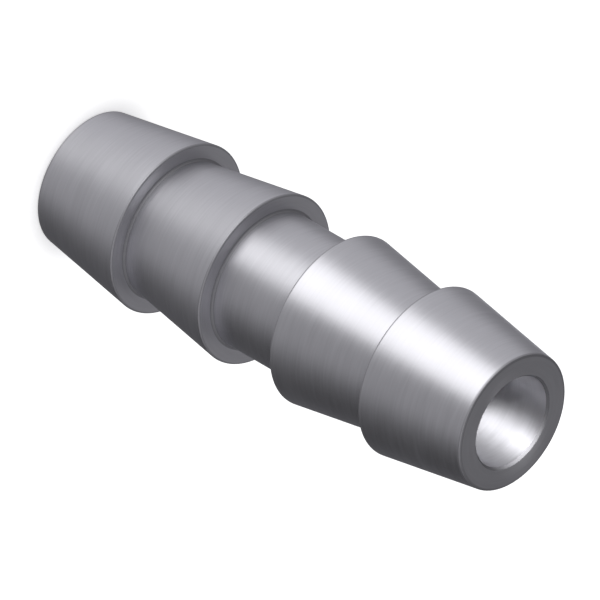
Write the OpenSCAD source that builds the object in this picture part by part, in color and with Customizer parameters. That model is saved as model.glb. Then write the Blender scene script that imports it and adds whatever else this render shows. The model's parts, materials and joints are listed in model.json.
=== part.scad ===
// Straight hose connector: two barbed tails on a plain neck, turned from one bar and drilled through.
// It stands on its lower end face. The origin is the centre of that face, and +Z runs along the bore.

/* [Barbs] */
// Diameter over the crests of the barbs
crest_d = 15; // [14.4:0.1:18]
// Diameter at the low end of each barb's slope, which is also the outside of each end face
tip_d = 12; // [10.5:0.1:13]
// Length of one barb along the axis, from its shoulder to the low end of its slope
barb_l = 10; // [6:0.1:14]
// Number of barbs on each tail
barbs = 2; // [1:1:4]

/* [Neck and bore] */
// Diameter of the plain neck between the tails
neck_d = 12; // [10.5:0.1:13]
// Length of the neck, from one innermost shoulder to the other
neck_l = 8; // [4:0.1:20]
// Diameter of the bore through the part
bore_d = 8; // [5:0.1:9]

/* [Edges] */
// Radius on the crest of each barb
crest_round = 0.15; // [0.05:0.05:0.25]
// Radius that the turning tool's nose leaves at the foot of each shoulder
foot_round = 0.2; // [0.05:0.05:0.25]
// Radius on the outer edge of each end face
tip_round = 0.2; // [0.05:0.05:0.3]
// Width of the chamfer at each mouth of the bore
mouth_chamfer = 0.2; // [0.05:0.05:0.3]

/* [Hidden] */

crest_r = crest_d / 2;
tip_r = tip_d / 2;
neck_r = neck_d / 2;
bore_r = bore_d / 2;
half_l = neck_l / 2 + barbs * barb_l;

// Facets round the axis, and steps across the round of one corner
turn_facets = 128;
corner_steps = 6;
// How far a cutter runs past the face that it cuts
overrun = 1;

// A barb's slope is the line from the low end that just touches the round of the crest,
// so that crest_d is the true diameter over the crests.
slope_rise = crest_r - crest_round - tip_r;
slope_run = barb_l - crest_round;
slope_angle = atan2(slope_rise, slope_run) + asin(crest_round / norm([slope_rise, slope_run]));
// Radius at which the slope would meet its shoulder if the crest were left sharp
sharp_crest_r = tip_r + barb_l * tan(slope_angle);

// The outline's sharp corners are [radius from the axis, height above the middle, rounding].
function barb_corners(i) =
    let (z = neck_l / 2 + i * barb_l, foot_r = i == 0 ? neck_r : tip_r)
    [[foot_r, z, foot_round], [sharp_crest_r, z, crest_round]];

function tail_corners() =
    [for (i = [0 : barbs - 1]) each barb_corners(i), [tip_r, half_l, tip_round]];

function mirrored(corners) =
    [for (i = [len(corners) - 1 : -1 : 0]) [corners[i].x, -corners[i].y, corners[i].z]];

function outside_corners() =
    concat([[0, -half_l, 0]], mirrored(tail_corners()), tail_corners(), [[0, half_l, 0]]);

// An angle brought to between -180 and 180 degrees
function short_turn(angle) = angle - 360 * round(angle / 360);

function unit(v) = v / norm(v);

// Points of the arc that rounds the corner between two straight edges
function corner_arc(before, corner, after, radius) =
    let (
        to_before = unit(before - corner),
        to_after = unit(after - corner),
        half_angle = acos(to_before * to_after) / 2,
        centre = corner + unit(to_before + to_after) * radius / sin(half_angle),
        first = corner + to_before * radius / tan(half_angle) - centre,
        last = corner + to_after * radius / tan(half_angle) - centre,
        start = atan2(first.y, first.x),
        turn = short_turn(atan2(last.y, last.x) - start)
    )
    [for (s = [0 : corner_steps])
        let (a = start + turn * s / corner_steps)
        centre + radius * [cos(a), sin(a)]];

function flat(corner) = [corner.x, corner.y];

function rounded(corners) =
    let (n = len(corners))
    [for (i = [0 : n - 1])
        let (before = corners[(i + n - 1) % n], after = corners[(i + 1) % n], radius = corners[i].z)
        each radius > 0
            ? corner_arc(flat(before), flat(corners[i]), flat(after), radius)
            : [flat(corners[i])]];

// The turned outside, solid to the axis
module turned_outside() {
    rotate_extrude($fn = turn_facets)
        polygon(rounded(outside_corners()));
}

// The chamfered mouth of the bore at the upper end, measured from the middle of the part
module bore_mouth() {
    translate([0, 0, half_l - mouth_chamfer])
        cylinder(
            h = mouth_chamfer + overrun,
            r1 = bore_r,
            r2 = bore_r + mouth_chamfer + overrun,
            $fn = turn_facets
        );
}

// What the drill and the chamfer tool take out
module bore() {
    cylinder(h = 2 * (half_l + overrun), r = bore_r, center = true, $fn = turn_facets);
    bore_mouth();
    mirror([0, 0, 1]) bore_mouth();
}

module hose_connector() {
    color([0.66, 0.66, 0.68])
        translate([0, 0, half_l])
            difference() {
                turned_outside();
                bore();
            }
}

hose_connector();
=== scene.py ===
"""A turned stainless hose connector, standing on its lower end face on a pale floor."""
import json
import math

import bpy
from mathutils import Matrix, Vector


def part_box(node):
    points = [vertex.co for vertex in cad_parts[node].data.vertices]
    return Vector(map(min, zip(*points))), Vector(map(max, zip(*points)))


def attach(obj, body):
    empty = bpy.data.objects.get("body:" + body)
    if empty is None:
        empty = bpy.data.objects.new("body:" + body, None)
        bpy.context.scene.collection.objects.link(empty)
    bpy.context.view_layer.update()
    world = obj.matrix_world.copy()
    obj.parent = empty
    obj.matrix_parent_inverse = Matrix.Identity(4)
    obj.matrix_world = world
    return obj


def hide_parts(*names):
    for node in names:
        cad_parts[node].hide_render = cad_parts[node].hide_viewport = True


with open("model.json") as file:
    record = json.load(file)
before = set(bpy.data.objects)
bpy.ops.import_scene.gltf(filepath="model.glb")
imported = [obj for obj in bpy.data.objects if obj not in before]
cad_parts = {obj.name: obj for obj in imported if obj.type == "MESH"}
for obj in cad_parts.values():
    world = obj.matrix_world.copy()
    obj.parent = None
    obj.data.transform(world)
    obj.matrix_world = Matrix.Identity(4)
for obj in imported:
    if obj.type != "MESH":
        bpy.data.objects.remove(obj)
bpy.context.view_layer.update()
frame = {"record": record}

MM = 0.001

# Sizes that the frame gives
low_corner, high_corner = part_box("hose_connector")
mounts = {mount["name"]: mount for mount in frame["record"]["mounts"]}
overall_length = high_corner.z - low_corner.z
half_length = overall_length / 2
crest_radius = mounts["upper_hose_tail"]["dims"]["r_mm"] * MM
tail_length = mounts["upper_hose_tail"]["dims"]["length_mm"] * MM
bore_radius = mounts["bore"]["dims"]["r_mm"] * MM
mouth_chamfer = half_length - mounts["bore"]["dims"]["length_mm"] * MM / 2

# Sizes of the barbs, the neck and the edges
barbs_on_a_tail = 2
barb_length = tail_length / barbs_on_a_tail
tip_radius = 6 * MM
neck_radius = 6 * MM
crest_round = 0.15 * MM
foot_round = 0.2 * MM
tip_round = 0.2 * MM

# The body's mesh. Each round has a ring of faces just outside each of its ends, Guard reach times its
# radius away from the sharp corner, so that the flat faces beside it are shaded flat.
body_sizes = {
    "Crest radius": crest_radius,
    "Tip radius": tip_radius,
    "Neck radius": neck_radius,
    "Bore radius": bore_radius,
    "Half length": half_length,
    "Barb length": barb_length,
    "Barbs": barbs_on_a_tail,
    "Crest round": crest_round,
    "Foot round": foot_round,
    "Tip round": tip_round,
    "Mouth chamfer": mouth_chamfer,
    "Guard reach": 1.35,
    "Round steps": 12,
    "Ring spacing": 1.0 * MM,
    "Segments": 256,
}
merge_distance = 0.001 * MM
sharp_edge_angle = math.radians(30)

# What tells the finishes apart: how squarely a face of the bore, and one of its chamfers, looks at the
# axis, and how much of a faced surface's normal lies along the axis
bore_facing = 0.9
chamfer_facing = 0.5
faced_share = 0.7

# The metal, and the marks that the tools leave on it
steel = (0.605, 0.602, 0.632)
edge_tint = (0.56, 0.56, 0.58, 1.0)
turning_pitch = 0.09 * MM
turning_depth = 0.0008 * MM
drilling_pitch = 0.14 * MM
drilling_depth = 0.002 * MM
streak_width = 0.17 * MM
streak_share = 0.5
drift_width = 2.5 * MM

# What the streaks, the slower drift, the crests and the feet add to the metal's tone and roughness. The
# darker tone at the crests and the tip is painted shade that dims the glints their rounds catch, and at
# the feet it is painted shade in the corners.
streak_tone = 0.22
crest_painted_shade = -0.25
foot_painted_shade = -0.3
streak_roughness = 0.1
drift_roughness = 0.05
crest_roughness = 0.12
foot_roughness = 0.25

# The floor gives off its own light. Within contact_reach of the part this glow falls off smoothly as a
# painted contact shade, down to contact_light where the part covers all but least_open of what the floor
# would see of the room.
floor_width = 6.0
floor_light = 0.85
contact_light = 0.45
contact_reach = 3 * MM
least_open = 0.3

# The room. Each card and each light in it has an azimuth, an elevation, the angle from there out to
# which it is full, the angle at which it ends, and a strength.
room_level = 0.345
room_colour = (0.99, 0.985, 1.02, 1.0)
backdrop_level = 1.05
dark_card_right = (106, -11, 5, 59, 0.305)
dark_card_behind = (172, -38, 12, 30, 0.5)
light_left = (-84, -30, 17, 40, 0.335)
light_high_right = (80, 46, 5, 54, 0.44)
light_low_behind = (-145, -62, 5, 40, 0.2)
light_underneath = (32, -74, 4, 30, 0.2)

# The lamps' distance from what they face, and the beam that shines into the upper mouth
lamp_distance = 500 * MM
beam_distance = 60 * MM
beam_source_radius = 0.8 * MM
beam_softness = 0.7
lit_depth = 3.1 * MM

# The photograph looks down on the standing part at the isometric angle and has no perspective, so the
# lens is very long. It is turned so that the upper end comes out at the lower right, 30 degrees below
# level.
frame_width = 48.18 * MM
lens = 1600.0
sensor = 36.0
camera_elevation = 35.264
axis_below_level = 30.0


class NodeMaker:
    """Adds nodes to one tree, sets their inputs and links what comes from other nodes."""

    def __init__(self, tree):
        self.tree = tree

    def add(self, kind, inputs=None, **settings):
        node = self.tree.nodes.new(kind)
        for name, value in settings.items():
            setattr(node, name, value)
        for key, value in (inputs or {}).items():
            if isinstance(value, bpy.types.NodeSocket):
                self.link(value, node.inputs[key])
            else:
                node.inputs[key].default_value = value
        return node

    def output(self, kind, inputs=None, **settings):
        """The first output of a new node."""
        return self.add(kind, inputs, **settings).outputs[0]

    def link(self, source, socket):
        self.tree.links.new(source, socket)

    def math(self, operation, a, b=0.0):
        return self.output("ShaderNodeMath", {0: a, 1: b}, operation=operation)

    def plus(self, a, b):
        return self.math("ADD", a, b)

    def minus(self, a, b):
        return self.math("SUBTRACT", a, b)

    def times(self, a, b):
        return self.math("MULTIPLY", a, b)

    def plus_share(self, value, source, share):
        """A value with a share of the source added to it."""
        return self.plus(value, self.times(source, share))

    def vector_math(self, operation, a, b=(0.0, 0.0, 0.0)):
        node = self.add("ShaderNodeVectorMath", {0: a, 1: b}, operation=operation)
        gives_number = operation in ("DOT_PRODUCT", "LENGTH", "DISTANCE")
        return node.outputs["Value" if gives_number else "Vector"]

    def scaled(self, vector, factor):
        inputs = {0: vector, "Scale": factor}
        return self.add("ShaderNodeVectorMath", inputs, operation="SCALE").outputs["Vector"]

    def height_of(self, place):
        return self.add("ShaderNodeSeparateXYZ", {0: place}).outputs[2]

    def ramp(self, value, low, high, to_low=0.0, to_high=1.0):
        """A smooth step from to_low to to_high while value goes from low to high."""
        inputs = {
            "Value": value,
            "From Min": low,
            "From Max": high,
            "To Min": to_low,
            "To Max": to_high,
        }
        return self.output("ShaderNodeMapRange", inputs, interpolation_type="SMOOTHSTEP")

    def choose(self, condition, if_false, if_true):
        """For geometry trees: one of two numbers."""
        inputs = {0: condition, 1: if_false, 2: if_true}
        return self.output("GeometryNodeSwitch", inputs, input_type="FLOAT")

    def compare(self, operation, a, b):
        """For geometry trees: a test on two numbers."""
        return self.output("FunctionNodeCompare", {0: a, 1: b}, data_type="FLOAT", operation=operation)

    def sample(self, geometry, value, index, data_type="FLOAT"):
        """For geometry trees: what a value is at another geometry's point."""
        inputs = {"Geometry": geometry, "Value": value, "Index": index}
        return self.output("GeometryNodeSampleIndex", inputs, data_type=data_type, clamp=True)

    def store(self, geometry, name, value):
        """For geometry trees: keeps a number on each point under a name."""
        inputs = {"Geometry": geometry, "Name": name, "Value": value}
        settings = {"data_type": "FLOAT", "domain": "POINT"}
        return self.output("GeometryNodeStoreNamedAttribute", inputs, **settings)

    def stored(self, name):
        """For geometry trees: the number that is kept under a name."""
        return self.output("GeometryNodeInputNamedAttribute", {"Name": name}, data_type="FLOAT")

    def points_at(self, count, place):
        """For geometry trees: a chain of so many points, each at its place."""
        chain = self.output("GeometryNodeMeshLine", {"Count": count}, mode="OFFSET")
        return self.output("GeometryNodeSetPosition", {"Geometry": chain, "Position": place})


def new_tree(name, kind, inputs, outputs):
    """A node tree with named sockets, both given as name: socket kind."""
    tree = bpy.data.node_groups.new(name, kind)
    for socket_name, socket_kind in inputs.items():
        tree.interface.new_socket(socket_name, in_out="INPUT", socket_type=socket_kind)
    for socket_name, socket_kind in outputs.items():
        tree.interface.new_socket(socket_name, in_out="OUTPUT", socket_type=socket_kind)
    return tree


# The body's mesh


def outline_corners(make, size, index):
    """The corners of half of the outline as a chain of points, how many there are, and for each the
    radius of its round and its bend, which is 1 where the round stands out and -1 at a foot."""
    # The slope runs from the low end of the barb to the sharp crest and just touches the crest's round
    rise = make.minus(make.minus(size["Crest radius"], size["Crest round"]), size["Tip radius"])
    run = make.minus(size["Barb length"], size["Crest round"])
    reach = make.math("SQRT", make.plus(make.times(rise, rise), make.times(run, run)))
    tangent_turn = make.math("ARCSINE", make.math("DIVIDE", size["Crest round"], reach))
    slope = make.plus(make.math("ARCTAN2", rise, run), tangent_turn)
    slope_rise = make.times(size["Barb length"], make.math("TANGENT", slope))
    sharp_crest = make.plus(size["Tip radius"], slope_rise)

    # In order: the middle of the neck, a foot and a crest for each barb, the tip, the two edges of the
    # chamfer, and the middle of the bore. Each has a radius, a height, a round and a bend.
    barb = make.math("FLOOR", make.times(make.minus(index, 1.0), 0.5))
    is_crest = make.compare("LESS_THAN", make.math("MODULO", index, 2.0), 0.5)
    is_first_barb = make.compare("LESS_THAN", barb, 0.5)
    tip_index = make.plus(make.times(size["Barbs"], 2.0), 1.0)
    first_shoulder = make.minus(size["Half length"], make.times(size["Barbs"], size["Barb length"]))
    foot_radius = make.choose(is_first_barb, size["Tip radius"], size["Neck radius"])
    values = (
        make.choose(is_crest, foot_radius, sharp_crest),
        make.plus(first_shoulder, make.times(barb, size["Barb length"])),
        make.choose(is_crest, size["Foot round"], size["Crest round"]),
        make.choose(is_crest, -1.0, 1.0),
    )
    mouth_radius = make.plus(size["Bore radius"], size["Mouth chamfer"])
    chamfer_depth = make.minus(size["Half length"], size["Mouth chamfer"])
    special_corners = (
        (0.0, (size["Neck radius"], 0.0, 0.0, 0.0)),
        (tip_index, (size["Tip radius"], size["Half length"], size["Tip round"], 1.0)),
        (make.plus(tip_index, 1.0), (mouth_radius, size["Half length"], 0.0, 0.0)),
        (make.plus(tip_index, 2.0), (size["Bore radius"], chamfer_depth, 0.0, 0.0)),
        (make.plus(tip_index, 3.0), (size["Bore radius"], 0.0, 0.0, 0.0)),
    )
    for corner_index, special in special_corners:
        distance = make.math("ABSOLUTE", make.minus(index, corner_index))
        here = make.compare("LESS_THAN", distance, 0.5)
        values = [make.choose(here, old, new) for old, new in zip(values, special)]
    radius, height, rounding, bend = values
    from_wall = make.minus(radius, size["Bore radius"])
    place = make.output("ShaderNodeCombineXYZ", {0: from_wall, 1: height})
    corner_count = make.plus(tip_index, 4.0)
    return make.points_at(corner_count, place), corner_count, rounding, bend


def half_outline(make, size):
    """Half of the outline as a curve, from the middle of the neck over the barbs and the end face to
    the middle of the bore. X is the distance from the bore's wall and Y the height above the middle."""
    index = make.output("GeometryNodeInputIndex")
    position = make.output("GeometryNodeInputPosition")
    corners, corner_count, rounding, bend = outline_corners(make, size, index)

    # Each corner becomes three points: a guard towards the corner before it, itself, and a guard
    # towards the one after it. Where nothing is rounded, the three coincide.
    corner = make.math("FLOOR", make.math("DIVIDE", make.plus(index, 0.5), 3.0))
    side = make.minus(make.minus(index, make.times(corner, 3.0)), 1.0)
    is_corner = make.compare("LESS_THAN", make.math("ABSOLUTE", side), 0.5)
    here = make.sample(corners, position, corner, "FLOAT_VECTOR")
    there = make.sample(corners, position, make.plus(corner, side), "FLOAT_VECTOR")
    round_here = make.sample(corners, rounding, corner)
    bend_here = make.sample(corners, bend, corner)
    towards = make.vector_math("NORMALIZE", make.vector_math("SUBTRACT", there, here))
    guard = make.scaled(towards, make.times(round_here, size["Guard reach"]))
    points = make.points_at(make.times(corner_count, 3.0), make.vector_math("ADD", here, guard))
    points = make.store(points, "bend", make.choose(is_corner, 0.0, bend_here))
    points = make.store(points, "rounding", make.choose(is_corner, 0.0, round_here))
    rounds = {
        "Curve": make.output("GeometryNodeMeshToCurve", {0: points}),
        "Count": size["Round steps"],
        "Radius": make.stored("rounding"),
        "Limit Radius": True,
    }
    outline = make.output("GeometryNodeFilletCurve", rounds, mode="POLY")

    # Long straight stretches get rings, so that no face is very long and thin
    after = {"Index": make.plus(index, 1.0), "Value": position}
    next_position = make.output("GeometryNodeFieldAtIndex", after, data_type="FLOAT_VECTOR")
    stretch = make.vector_math("DISTANCE", position, next_position)
    cuts = make.math("FLOOR", make.math("DIVIDE", stretch, size["Ring spacing"]))
    return make.output("GeometryNodeSubdivideCurve", {"Curve": outline, "Cuts": cuts})


def turned_solid(make, size):
    """Half of the outline turned round the axis, with its mirror image below it, standing on the floor.
    The points keep feed, how far along the outline from the middle of the neck the tool has come."""
    outline = half_outline(make, size)
    distance = make.add("GeometryNodeSplineParameter").outputs["Length"]
    outline = make.store(outline, "feed", distance)
    circle = {"Resolution": size["Segments"], "Radius": size["Bore radius"]}
    path = make.output("GeometryNodeCurvePrimitiveCircle", circle, mode="RADIUS")
    half = make.output("GeometryNodeCurveToMesh", {"Curve": path, "Profile Curve": outline})
    upside_down = {"Geometry": half, "Scale": (1.0, 1.0, -1.0)}
    mirrored = make.output("GeometryNodeTransform", upside_down)
    mirrored = make.output("GeometryNodeFlipFaces", {0: mirrored})
    both = make.add("GeometryNodeJoinGeometry")
    make.link(half, both.inputs[0])
    make.link(mirrored, both.inputs[0])
    doubles = {"Geometry": both.outputs[0], "Distance": merge_distance}
    body = make.output("GeometryNodeMergeByDistance", doubles)

    # Below the middle feed counts the other way, so that the two tails don't carry the same marks
    height = make.height_of(make.output("GeometryNodeInputPosition"))
    body = make.store(body, "feed", make.times(make.stored("feed"), make.math("SIGN", height)))
    lift = make.output("ShaderNodeCombineXYZ", {2: size["Half length"]})
    return make.output("GeometryNodeTransform", {"Geometry": body, "Translation": lift})


def body_tree(materials):
    """The turned body, smooth but for the edges of the chamfers, with a finish on each surface."""
    kinds = {}
    for name, value in body_sizes.items():
        kinds[name] = "NodeSocketInt" if isinstance(value, int) else "NodeSocketFloat"
    tree = new_tree("turned body", "GeometryNodeTree", kinds, {"Geometry": "NodeSocketGeometry"})
    make = NodeMaker(tree)
    size = make.add("NodeGroupInput").outputs

    body = turned_solid(make, size)
    edge_angle = make.output("GeometryNodeInputMeshEdgeAngle")
    is_sharp = make.compare("GREATER_THAN", edge_angle, sharp_edge_angle)
    body = make.output("GeometryNodeSetShadeSmooth", {"Geometry": body}, domain="FACE")
    sharp = {"Geometry": body, "Selection": is_sharp, "Shade Smooth": False}
    body = make.output("GeometryNodeSetShadeSmooth", sharp, domain="EDGE")
    body = make.output("GeometryNodeRealizeInstances", {0: body})

    # How far each surface looks outwards, and how much of its normal lies along the axis
    position = make.output("GeometryNodeInputPosition")
    normal = make.add("GeometryNodeInputNormal").outputs["True Normal"]
    outwards = make.vector_math("MULTIPLY", position, (1.0, 1.0, 0.0))
    facing = make.vector_math("DOT_PRODUCT", normal, outwards)
    axis_share = make.math("ABSOLUTE", make.vector_math("DOT_PRODUCT", normal, (0.0, 0.0, 1.0)))
    from_middle = make.math("ABSOLUTE", make.minus(make.height_of(position), size["Half length"]))
    end_zone = make.minus(size["Half length"], size["Tip round"])
    is_faced = make.compare("GREATER_THAN", axis_share, faced_share)
    at_end = make.compare("GREATER_THAN", from_middle, end_zone)

    # Each finish goes over the ones before it
    chosen = {
        "turned outside": True,
        "faced shoulders with painted shade": is_faced,
        "faced ends with painted shade": make.output("FunctionNodeBooleanMath", {0: is_faced, 1: at_end}, operation="AND"),
        "mouth chamfers with painted shade": make.compare("LESS_THAN", facing, -chamfer_facing * bore_radius),
        "drilled bore with painted shade": make.compare("LESS_THAN", facing, -bore_facing * bore_radius),
    }
    for finish, selection in chosen.items():
        inputs = {"Geometry": body, "Selection": selection, "Material": materials[finish]}
        body = make.output("GeometryNodeSetMaterial", inputs)
    make.add("NodeGroupOutput", {0: body})
    return tree


def plain_mesh(name, tree, sizes):
    """The result of a geometry tree as a plain mesh object at the origin."""
    holder = bpy.data.objects.new(name + "_tree", bpy.data.meshes.new(name + "_tree"))
    bpy.context.scene.collection.objects.link(holder)
    modifier = holder.modifiers.new(tree.name, "NODES")
    modifier.node_group = tree
    for socket in tree.interface.items_tree:
        if socket.in_out == "INPUT":
            modifier[socket.identifier] = sizes[socket.name]
    evaluated = holder.evaluated_get(bpy.context.evaluated_depsgraph_get())
    mesh = bpy.data.meshes.new_from_object(evaluated)
    mesh.name = name
    bpy.data.objects.remove(holder)
    piece = bpy.data.objects.new(name, mesh)
    bpy.context.scene.collection.objects.link(piece)
    return piece


# Finishes


def marks_group():
    """What the tool leaves on a turned surface: a ridge for each turn, and streaks that run round the
    part. Along is how far the tool has fed, and Place is where the surface lies from the axis."""
    scalar = "NodeSocketFloat"
    inputs = {
        "Along": scalar,
        "Place": "NodeSocketVector",
        "Pitch": scalar,
        "Streak width": scalar,
        "Streak share": scalar,
    }
    outputs = {"Height": scalar, "Streaks": scalar, "Drift": scalar}
    tree = new_tree("turning marks", "ShaderNodeTree", inputs, outputs)
    make = NodeMaker(tree)
    given = make.add("NodeGroupInput").outputs
    level_place = make.vector_math("MULTIPLY", given["Place"], (1.0, 1.0, 0.0))
    round_axis = make.vector_math("NORMALIZE", level_place)

    def noise(spread, width, detail):
        """Noise that is slow round the axis, on a circle of radius spread, and quick along the feed."""
        step = make.math("DIVIDE", given["Along"], width)
        along = make.output("ShaderNodeCombineXYZ", {2: step})
        at = make.vector_math("ADD", make.scaled(round_axis, spread), along)
        return make.output("ShaderNodeTexNoise", {"Vector": at, "Scale": 1.0, "Detail": detail})

    streaks = noise(spread=1.6, width=given["Streak width"], detail=3.0)
    drift = noise(spread=0.7, width=drift_width, detail=1.0)
    phase = make.math("FRACT", make.math("DIVIDE", given["Along"], given["Pitch"]))
    from_middle = make.minus(make.times(phase, 2.0), 1.0)
    ridge = make.times(from_middle, from_middle)
    share = given["Streak share"]
    height = make.plus(make.times(ridge, make.minus(1.0, share)), make.times(streaks, share))
    make.add("NodeGroupOutput", {"Height": height, "Streaks": streaks, "Drift": drift})
    return tree


marks = marks_group()


def stainless(name, painted_brightness, roughness, anisotropy, pitch, depth, along="feed"):
    """Turned stainless. The marks run round the axis, so that light spreads along the part. A brightness
    below 1 is painted shade on the same steel.
    """
    material = bpy.data.materials.new(name)
    material.use_nodes = True
    make = NodeMaker(material.node_tree)
    shader = material.node_tree.nodes["Principled BSDF"]
    quarter_turn = 0.25
    shader.inputs["Metallic"].default_value = 1.0
    shader.inputs["Specular Tint"].default_value = edge_tint
    shader.inputs["Anisotropic"].default_value = anisotropy
    shader.inputs["Anisotropic Rotation"].default_value = quarter_turn
    tangent = make.output("ShaderNodeTangent", direction_type="RADIAL", axis="Z")
    make.link(tangent, shader.inputs["Tangent"])

    place = make.add("ShaderNodeTexCoord").outputs["Object"]
    if along == "feed":
        distance = make.add("ShaderNodeAttribute", attribute_name="feed").outputs["Fac"]
    else:
        distance = make.height_of(place)
    inputs = {
        "Along": distance,
        "Place": place,
        "Pitch": pitch,
        "Streak width": streak_width,
        "Streak share": streak_share,
    }
    group = make.add("ShaderNodeGroup", inputs, node_tree=marks)
    streak_shift = make.minus(group.outputs["Streaks"], 0.5)
    drift_shift = make.minus(group.outputs["Drift"], 0.5)
    bend = make.add("ShaderNodeAttribute", attribute_name="bend").outputs["Fac"]
    crest = make.math("MAXIMUM", bend, 0.0)
    foot = make.math("MAXIMUM", make.times(bend, -1.0), 0.0)

    rough = make.plus_share(roughness, streak_shift, streak_roughness)
    rough = make.plus_share(rough, drift_shift, drift_roughness)
    rough = make.plus_share(rough, crest, crest_roughness)
    rough = make.plus_share(rough, foot, foot_roughness)
    make.link(rough, shader.inputs["Roughness"])
    # The finish's brightness scales the steel; below 1 it is painted shade on the same steel
    tone = make.times(make.plus_share(1.0, streak_shift, streak_tone), painted_brightness)
    # Painted shade: the crest and tip rounds are darkened, which dims the glints they catch, and the
    # foot fillets are darkened in the corners
    tone = make.times(tone, make.plus_share(1.0, crest, crest_painted_shade))
    tone = make.times(tone, make.plus_share(1.0, foot, foot_painted_shade))
    make.link(make.scaled(steel, tone), shader.inputs["Base Color"])
    bump = {"Strength": 1.0, "Distance": depth, "Height": group.outputs["Height"]}
    make.link(make.output("ShaderNodeBump", bump), shader.inputs["Normal"])
    return material


def turned_finish(name, painted_brightness, roughness, anisotropy):
    return stainless(name, painted_brightness, roughness, anisotropy, turning_pitch, turning_depth)


def drilled_finish(name, painted_brightness, roughness, anisotropy):
    return stainless(name, painted_brightness, roughness, anisotropy, drilling_pitch, drilling_depth, "height")


# Stage, lights and camera


def white_floor():
    """A plain white floor that gives off its own light, a little less of it close to the part as a
    painted contact shade. The metal doesn't mirror it, and it stops no light."""
    bpy.ops.mesh.primitive_plane_add(size=floor_width)
    floor = bpy.context.object
    floor.name = "floor"
    material = bpy.data.materials.new("white floor")
    material.use_nodes = True
    shader = material.node_tree.nodes["Principled BSDF"]
    shader.inputs["Base Color"].default_value = (0.8, 0.8, 0.8, 1.0)
    shader.inputs["Roughness"].default_value = 1.0
    shader.inputs["Specular IOR Level"].default_value = 0.0
    shader.inputs["Emission Color"].default_value = (1.0, 1.0, 1.0, 1.0)
    make = NodeMaker(material.node_tree)
    occlusion = make.add("ShaderNodeAmbientOcclusion", {"Distance": contact_reach}, samples=8)
    # Painted contact shade: the floor's glow is dimmed where the part hides the room from it
    light = make.ramp(occlusion.outputs["AO"], least_open, 1.0, contact_light, floor_light)
    make.link(light, shader.inputs["Emission Strength"])
    material.cycles.emission_sampling = "NONE"
    floor.data.materials.append(material)
    floor.visible_glossy = False
    floor.visible_shadow = False
    floor.visible_diffuse = False
    return floor


def direction(azimuth, elevation):
    """Unit vector from the part towards a light. Azimuth 0 is the camera's side, and it grows
    towards +X."""
    turn = math.radians(azimuth)
    rise = math.radians(elevation)
    level = math.cos(rise)
    return Vector((level * math.sin(turn), -level * math.cos(turn), math.sin(rise)))


def soft_surround():
    """A grey room with dark cards and soft lights in it, which give the metal its dark and its light
    sides. The camera itself sees plain white."""
    world = bpy.data.worlds.new("studio")
    bpy.context.scene.world = world
    world.use_nodes = True
    make = NodeMaker(world.node_tree)
    background = world.node_tree.nodes["Background"]
    towards = make.add("ShaderNodeTexCoord").outputs["Generated"]

    def patch(azimuth, elevation, full_angle, end_angle, strength):
        """Full strength within full_angle of a direction, fading to 0 at end_angle."""
        facing = make.vector_math("DOT_PRODUCT", towards, tuple(direction(azimuth, elevation)))
        facing_at_end = math.cos(math.radians(end_angle))
        facing_at_full = math.cos(math.radians(full_angle))
        return make.ramp(facing, facing_at_end, facing_at_full, 0.0, strength)

    level = make.minus(room_level, patch(*dark_card_right))
    for light in (light_left, light_high_right, light_low_behind, light_underneath):
        level = make.plus(level, patch(*light))
    level = make.times(level, make.minus(1.0, patch(*dark_card_behind)))
    camera_sees = make.add("ShaderNodeLightPath").outputs["Is Camera Ray"]
    levels = {"Factor": camera_sees, 2: level, 3: backdrop_level}
    make.link(make.output("ShaderNodeMix", levels, data_type="FLOAT"), background.inputs["Strength"])
    background.inputs["Color"].default_value = room_colour


def place_lamp(name, data, target, azimuth, elevation, distance):
    """Puts a lamp at a distance from a point, facing it. The camera doesn't see it."""
    lamp = bpy.data.objects.new(name, data)
    lamp.location = target + direction(azimuth, elevation) * distance
    lamp.rotation_euler = (lamp.location - target).to_track_quat("Z", "Y").to_euler()
    lamp.visible_camera = False
    bpy.context.scene.collection.objects.link(lamp)
    return lamp


def soft_lamp(name, azimuth, elevation, half_width, radiance):
    """A round soft light that faces the middle of the part. half_width is half the angle that it
    fills."""
    radius = lamp_distance * math.tan(math.radians(half_width))
    data = bpy.data.lights.new(name, "AREA")
    data.shape = "DISK"
    data.size = 2 * radius
    data.energy = radiance * math.pi * math.pi * radius * radius
    middle = Vector((0.0, 0.0, half_length))
    return place_lamp(name, data, middle, azimuth, elevation, lamp_distance)


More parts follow.
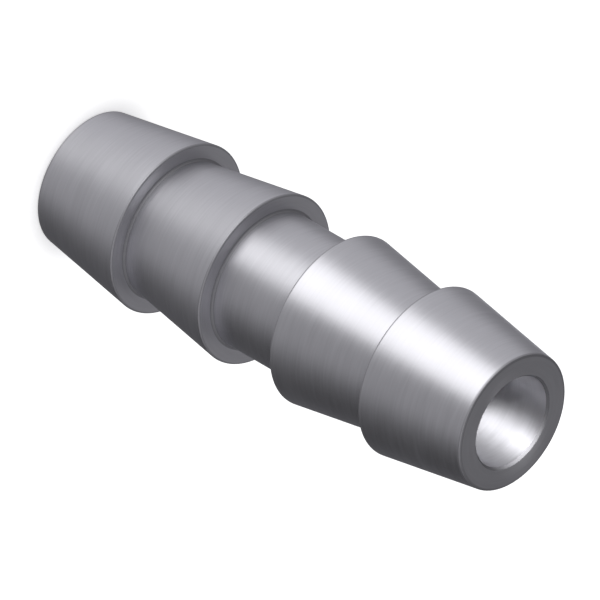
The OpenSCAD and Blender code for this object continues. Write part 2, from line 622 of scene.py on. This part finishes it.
def mouth_lamp(azimuth, elevation, beam_radius, irradiance):
    """A narrow soft beam through the upper mouth, onto the far wall of the bore that the camera sees."""
    data = bpy.data.lights.new("mouth", "SPOT")
    data.spot_size = 2 * math.atan(beam_radius / beam_distance)
    data.spot_blend = beam_softness
    data.shadow_soft_size = beam_source_radius
    data.energy = irradiance * 4 * math.pi * beam_distance * beam_distance
    lit_height = Vector((0.0, 0.0, overall_length - lit_depth))
    target = direction(azimuth + 180, 0) * bore_radius + lit_height
    return place_lamp("mouth", data, target, azimuth, elevation, beam_distance)


def picture_camera():
    data = bpy.data.cameras.new("camera")
    data.lens = lens
    data.sensor_width = sensor
    data.clip_start = 0.01
    data.clip_end = 100.0
    camera = bpy.data.objects.new("camera", data)
    back = direction(0, camera_elevation)
    level = back.to_track_quat("Z", "Y").to_matrix()
    turn = Matrix.Rotation(math.radians(90 + axis_below_level), 3, "Z")
    distance = frame_width * lens / sensor
    place = Vector((0, 0, half_length)) + back * distance
    camera.matrix_world = Matrix.Translation(place) @ (level @ turn).to_4x4()
    bpy.context.scene.collection.objects.link(camera)
    bpy.context.scene.camera = camera


# Every finish is the same steel: the lower brightness of the shoulders, ends, chamfers and bore is
# painted shade, while their roughness, anisotropy and marks are their own
finishes = (
    turned_finish("turned outside", painted_brightness=1.0, roughness=0.42, anisotropy=0.5),
    turned_finish("faced shoulders with painted shade", painted_brightness=0.84, roughness=0.45, anisotropy=0.3),
    turned_finish("faced ends with painted shade", painted_brightness=0.59, roughness=0.45, anisotropy=0.3),
    turned_finish("mouth chamfers with painted shade", painted_brightness=0.4, roughness=0.7, anisotropy=0.0),
    drilled_finish("drilled bore with painted shade", painted_brightness=0.8, roughness=0.6, anisotropy=0.54),
)
body_materials = {material.name: material for material in finishes}
body = plain_mesh("connector_body", body_tree(body_materials), body_sizes)
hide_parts("hose_connector")
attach(body, "root")

white_floor()
soft_surround()
soft_lamp("key", azimuth=-26, elevation=-7, half_width=29, radiance=1.95)
soft_lamp("back", azimuth=-170, elevation=-14, half_width=17, radiance=2.0)
mouth_lamp(azimuth=-27, elevation=40, beam_radius=3.7 * MM, irradiance=11.4)
picture_camera()
bpy.context.scene.view_settings.view_transform = "Standard"
